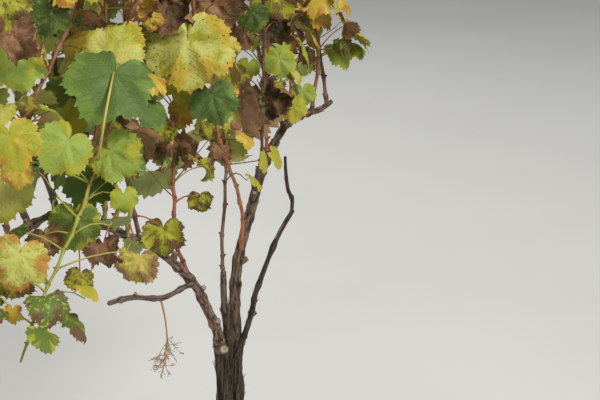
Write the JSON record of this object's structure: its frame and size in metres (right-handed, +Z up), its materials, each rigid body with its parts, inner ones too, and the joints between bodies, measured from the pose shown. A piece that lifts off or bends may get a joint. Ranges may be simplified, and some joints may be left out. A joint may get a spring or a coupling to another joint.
{
  "type": "grapevine",
  "caption": "Autumn grapevine with a gnarled trunk, arms bent along the row, upright leafy canes and a drooping green shoot.",
  "frame": {"origin": "middle of the trunk's flat cut at ground level", "axes": "+Z up along the trunk, +X along the vineyard row, -Y towards the alley that the picture looks from"},
  "size_m": [1.2586, 0.4722, 1.5987],
  "materials": {
    "trunk_bark": "dark grey-brown stringy bark, rough",
    "arm_bark": "grey-brown bark with reddish streaks, rough",
    "cane_bark": "smooth russet one-year cane",
    "green_shoot": "yellow-green unripened shoot and leaf stalks",
    "leaf_green": "matt leaf, green",
    "leaf_blue_green": "matt leaf, dark blue-green",
    "leaf_lime": "matt leaf, yellow-green",
    "leaf_yellow": "matt leaf, autumn yellow",
    "leaf_brown": "dry curled leaf, brown",
    "leaf_tan": "dry curled leaf, tan",
    "bunch_stalk": "dried bunch stalk"
  },
  "bodies": {
    "root": {"trunk": "trunk_bark", "left_arm": "arm_bark", "left_cordon": "arm_bark", "right_arm": "arm_bark", "right_cordon": "arm_bark", "looped_branch": "arm_bark", "looped_branch_top": "arm_bark", "old_spur": "arm_bark", "low_cane": "arm_bark", "shoot_far_left": "leaf_yellow", "shoot_left_back_1": "leaf_lime", "shoot_left_back_2": "leaf_green", "shoot_left_front": "leaf_lime", "shoot_left_mid": "leaf_green", "shoot_orange": "leaf_lime", "shoot_red": "leaf_green", "shoot_left_back_3": "leaf_yellow", "shoot_russet": "leaf_lime", "shoot_to_prune": "leaf_yellow", "shoot_thin": "leaf_lime", "shoot_front_mid": "leaf_brown", "shoot_right_1": "leaf_lime", "shoot_right_back": "leaf_green", "shoot_salmon": "leaf_yellow", "shoot_right_front": "leaf_lime", "shoot_far_right": "leaf_green", "shoot_drooping": "leaf_green"}
  },
  "joints": []
}
